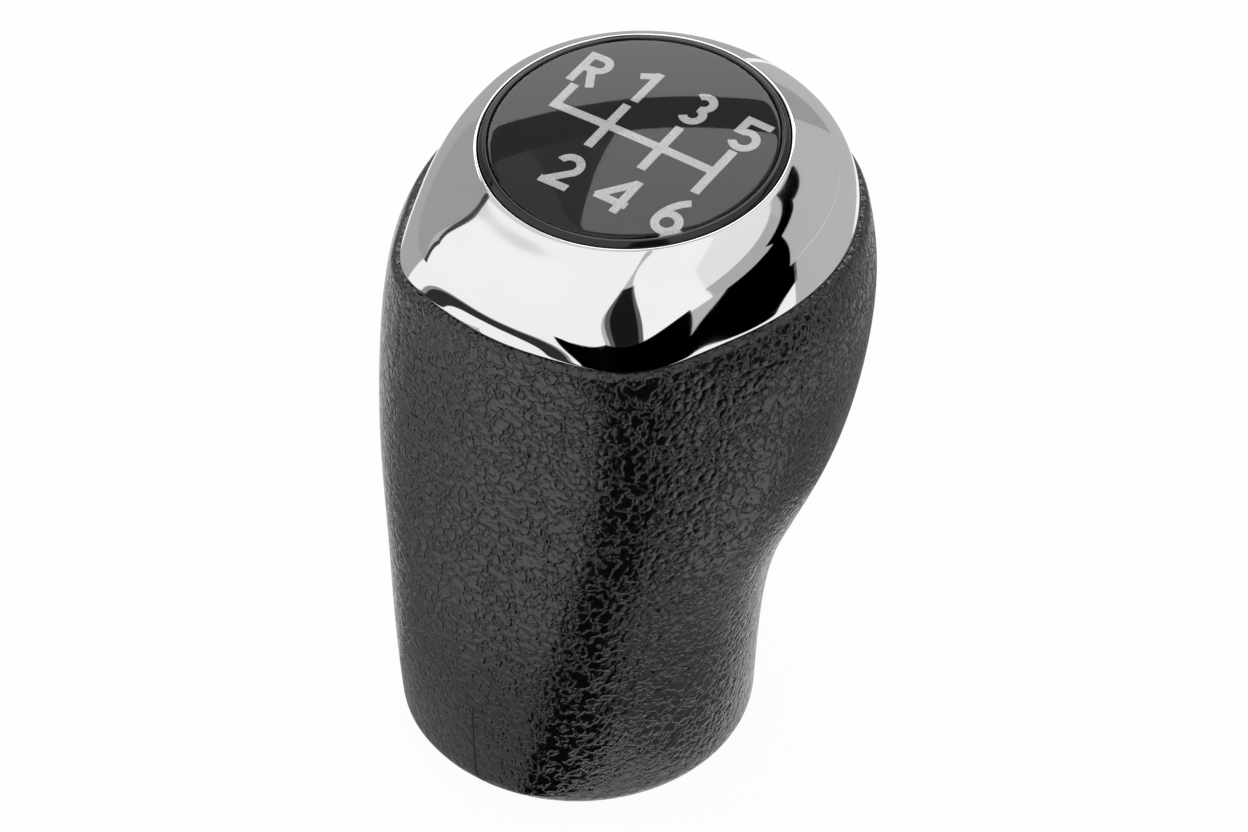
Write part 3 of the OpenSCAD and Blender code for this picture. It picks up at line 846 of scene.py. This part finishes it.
bonded = finish_of("bonded resin", *RESIN_TONES, 0.9, 1.0, scale=RESIN_SCALE)
bonded.set("Alpha", 0.0)
badge_lens.data.materials.append(bonded.material)
tilt = math.radians(BADGE_TILT)
badge_axis = Vector((0, -math.sin(tilt), math.cos(tilt)))
badge_middle = Vector((0, BADGE_Y, BADGE_Z)) * MM
under = 0
for face in badge_lens.data.polygons:
    if (face.center - badge_middle).dot(badge_axis) < BONDED_BELOW * MM:
        face.material_index = 1
        under += 1
print(under, "faces of the resin are bonded")

# %% [markdown]
# ## The camera
#
# The picture is taken from the rear right and from above, at arm's length, with a long
# lens, so the knob hardly tapers. The lens follows from how many pixels a millimetre
# of the knob takes up in the picture.

# %% Camera
CAM_AZ, CAM_EL = math.radians(34.31), math.radians(41.51)
CAM_DISTANCE = 0.600
CAM_AIM = Vector((0, 0.00968, 0.03646))
PIXELS_PER_MM = 8.540
IMAGE_W = 1248
SENSOR = 36.0


def compass(azimuth, height):
    """The way out at a compass angle from the rear and an angle above the table."""
    level = math.cos(height)
    return Vector((math.sin(azimuth) * level, -math.cos(azimuth) * level, math.sin(height)))


back = compass(CAM_AZ, CAM_EL)
camera_data = bpy.data.cameras.new("camera")
camera_data.sensor_width = SENSOR
camera_data.lens = PIXELS_PER_MM * CAM_DISTANCE / MM / IMAGE_W * SENSOR
camera = bpy.data.objects.new("camera", camera_data)
bpy.context.scene.collection.objects.link(camera)
camera.location = CAM_AIM + back * CAM_DISTANCE
camera.rotation_euler = back.to_track_quat("Z", "Y").to_euler()
bpy.context.scene.camera = camera
print("lens", round(camera_data.lens, 1), "mm")

# %% [markdown]
# ## The floor
#
# The floor is pale paper. To the camera, to mirrors and through glass it shines with
# nearly its own full white, so the background stays even, while its small share of
# plain paper keeps the knob's shadow. From below it is clear, so that the foot can be
# looked at.

# %% Floor
FLOOR_Z = -0.05
FLOOR_SIZE = 6.0
FLOOR_OWN = 0.96

bare()
bpy.ops.mesh.primitive_plane_add(size=FLOOR_SIZE, location=(0, 0, FLOOR_Z * MM))
floor = bpy.context.object
floor.name = "floor"

pale = Finish("pale floor", (0.9, 0.9, 0.9), 0.9)
lit = pale.add("ShaderNodeEmission", Strength=1.0)
path = pale.add("ShaderNodeLightPath")
seen = path.outputs["Is Camera Ray"]
for way in ("Is Glossy Ray", "Is Transmission Ray"):
    seen = math_node(pale.tree, "MAXIMUM", seen, path.outputs[way])
own = math_node(pale.tree, "MULTIPLY", seen, FLOOR_OWN)
top_side = pale.mix(own, pale.shader.outputs[0], lit.outputs[0])
under_side = pale.add("ShaderNodeBsdfTransparent").outputs[0]
turned = pale.add("ShaderNodeNewGeometry").outputs["Backfacing"]
pale.show(pale.mix(turned, top_side, under_side))
paint(floor, pale)

# %% [markdown]
# ## The tent
#
# Chrome and black gloss show the room more than themselves. The room is a pale tent,
# here the world's own even light, at half the level of the panels that hang in it.

# %% Tent
TENT_LEVEL = 0.5
world = bpy.data.worlds.new("tent")
bpy.context.scene.world = world
world.use_nodes = True
tent = world.node_tree.nodes["Background"]
tent.inputs["Color"].default_value = (1, 1, 1, 1)
tent.inputs["Strength"].default_value = TENT_LEVEL
print("the tent glows at", TENT_LEVEL)

# %% [markdown]
# ## Panels in the tent
#
# Two large soft panels stand left and right of the camera, with a dark gap between
# them, and more hang behind and above for the badge. Each panel is a piece of a large
# sphere around the knob, set by the compass angle and the height angle of its four
# corners. So its edges lie where the photographer's panels are mirrored in the chrome.

# %% Panel helper
TENT_R = 1.5
TENT_MIDDLE = Vector((0, 0.005, 0.070))
PANEL_CELLS = 12
NEARER_BY = 0.003
panels = []


def glow(name, level):
    """A finish that only shines, at a level where 1 is white."""
    finish = Finish(name, (0, 0, 0), 1.0)
    finish.set("Specular IOR Level", 0.0)
    finish.set("Emission Color", (1, 1, 1, 1))
    finish.set("Emission Strength", level)
    return finish


def hang(card, name, level, unseen):
    """A card of the set, unseen in some ways."""
    card.name = name
    paint(card, glow(name, level))
    for way in unseen:
        setattr(card, "visible_" + way, False)


def between(a, b, share):
    return [a[k] * (1 - share) + b[k] * share for k in (0, 1)]


def panel(name, corners, level):
    """A panel by its corners: lower left, lower right, upper right, upper left.

    Each one hangs a little in front of the last."""
    bare()
    cells = {"x_subdivisions": PANEL_CELLS, "y_subdivisions": PANEL_CELLS}
    bpy.ops.mesh.primitive_grid_add(size=2.0, **cells)
    card = bpy.context.object
    away = TENT_R * (1 - NEARER_BY * len(panels))
    for v in card.data.vertices:
        s, t = (v.co.x + 1) / 2, (v.co.y + 1) / 2
        low = between(corners[0], corners[1], s)
        high = between(corners[3], corners[2], s)
        azimuth, height = (math.radians(a) for a in between(low, high, t))
        v.co = TENT_MIDDLE + compass(azimuth, height) * away
    unseen = ("camera",) if level else ("camera", "diffuse", "shadow", "transmission")
    hang(card, name, level, unseen)
    panels.append(name)


print("panels hang", TENT_R, "m away")

# %% [markdown]
# ## Where the panels hang
#
# A level of 1 is white paper in full light, 0 is black card. The left panels fill the
# left half of the chrome, the corner's edge and gap draw its dark streak, and the far
# and the top panel give the badge its pale arcs.

# %% Panels
panel("left_wall", [(-180, -4), (-72, -4), (-96, 46), (-180, 46)], 0.36)
panel("left_far", [(-130, 46), (-96, 46), (-86, 84), (-130, 84)], 0.7)
panel("left_low", [(-70, -4), (24, -4), (24, 24), (-79, 24)], 1.0)
panel("left_mid", [(-79, 24), (24, 24), (24, 46), (-96, 46)], 1.0)
panel("left_top", [(-96, 46), (24, 46), (24, 90), (-86, 90)], 1.0)
panel("border_low", [(-72.5, -4), (-70, -4), (-79, 24), (-81.5, 24)], 0.05)
panel("border_mid", [(-81.5, 24), (-79, 24), (-96, 46), (-98.5, 46)], 0.05)
panel("right_panel", [(54, 20), (92, 22), (102, 90), (52, 90)], 1.0)
panel("corner_edges", [(28, -4), (55, -4), (56, 84), (24, 84)], 0.12)
panel("corner_gap", [(31, -4), (51, -4), (52, 84), (28, 84)], 0.01)
panel("low_card", [(6, -4), (88, -4), (86, 25), (24, 14)], 0.0)
panel("rear_low", [(92, 22), (125, 26), (125, 40), (92, 38)], 0.45)
panel("rear_strip", [(92, 38), (160, 36), (150, 56), (96, 72)], 0.85)
panel("side_card", [(87, -4), (115, -4), (119, 28), (95, 21)], 0.0)
panel("side_band", [(116, 25), (137, 32), (137, 36), (112, 30)], 0.0)
panel("band_end", [(137, 32), (158, 28.5), (158, 31), (137, 36)], 0.0)
panel("far_panel", [(178, 22), (251, 22), (259, 41.5), (178, 41.5)], 2.4)
panel("top_panel", [(196, 46), (221, 46), (231, 60), (190, 72)], 2.4)
print(len(panels), "panels")

# %% [markdown]
# ## Cards on the table
#
# The table is white only around the knob. Towards the room it is dark, and behind the
# knob it is as grey as the tent. Only reflections see these cards, which lie flat on
# the floor and are given by their corners or by arcs around the knob.

# %% Card helper
CARD_Z = 0.3


def table_card(name, points, level):
    """A flat card on the table by its corners in millimetres."""
    bare()
    bpy.ops.mesh.primitive_circle_add(vertices=len(points), radius=1.0, fill_type="NGON")
    card = bpy.context.object
    for v, (x, y) in zip(card.data.vertices, points):
        v.co = (x * MM, y * MM, CARD_Z * MM)
    hang(card, name, level, ("camera", "diffuse", "shadow", "transmission"))


def table_arc(radius, first, last, count=7):
    """Points on the table at a radius, between two compass angles."""
    turns = [math.radians(a) for a in steps(first, last, count)]
    return [(radius * math.sin(a), -radius * math.cos(a)) for a in turns]


print("cards lie", CARD_Z, "mm above the table")

# %% [markdown]
# ## Where the cards lie
#
# The skin's steep walls mirror the table beside it. The dark card gives the rear corner
# its dark band, the seams a soft border to that, and the near cards the slow change of
# grey from one side of the skin to the other.

# %% Table cards
dark_near = [(12, -22), (36, -118), (20, -140), (14, -190)]
dark_far = [(140, -2600), (2600, -2600), (2600, 1380), (350, 186)]
dark_side = [(350, 0), (150, -25), (22, -23.5)]
table_card("dark_table", dark_near + dark_far + dark_side, 0.0)
table_card("table_seam", table_arc(143, -74, 8) + table_arc(222, 8, -74), 0.03)
table_card("seam_edge", table_arc(222, -74, 8) + table_arc(248, 8, -74), 0.3)
table_card("grey_table", table_arc(135, 117, 200, 12) + table_arc(2900, 200, 117), 0.5)
table_card("left_table", table_arc(135, 201, 286, 12) + table_arc(2900, 286, 201), 0.42)
table_card("near_left", table_arc(20, -66, 15, 8) + table_arc(54, 11, -66, 8), 0.4)
table_card("side_left", table_arc(55, -80, -34, 8) + table_arc(108, -38, -80, 8), 0.5)
table_card("near_right", table_arc(46, 104, 200, 12) + table_arc(110, 200, 104, 12), 0.3)
table_card("near_side", [(23.5, -20), (46, -20), (43, 2), (37, 26), (25, 24), (24, 0)], 0.25)
table_card("near_band", [(5, -19.5), (11, -60), (16, -109), (60, -92), (110, -26)]
           + [(46, -24), (20, -18.5), (14, -20)], 0.0)

# %% [markdown]
# ## View
#
# The plain view shows colours about as they are written. The dressed knob may
# not be larger than its construction.

# %% View
bpy.context.scene.view_settings.view_transform = "Standard"
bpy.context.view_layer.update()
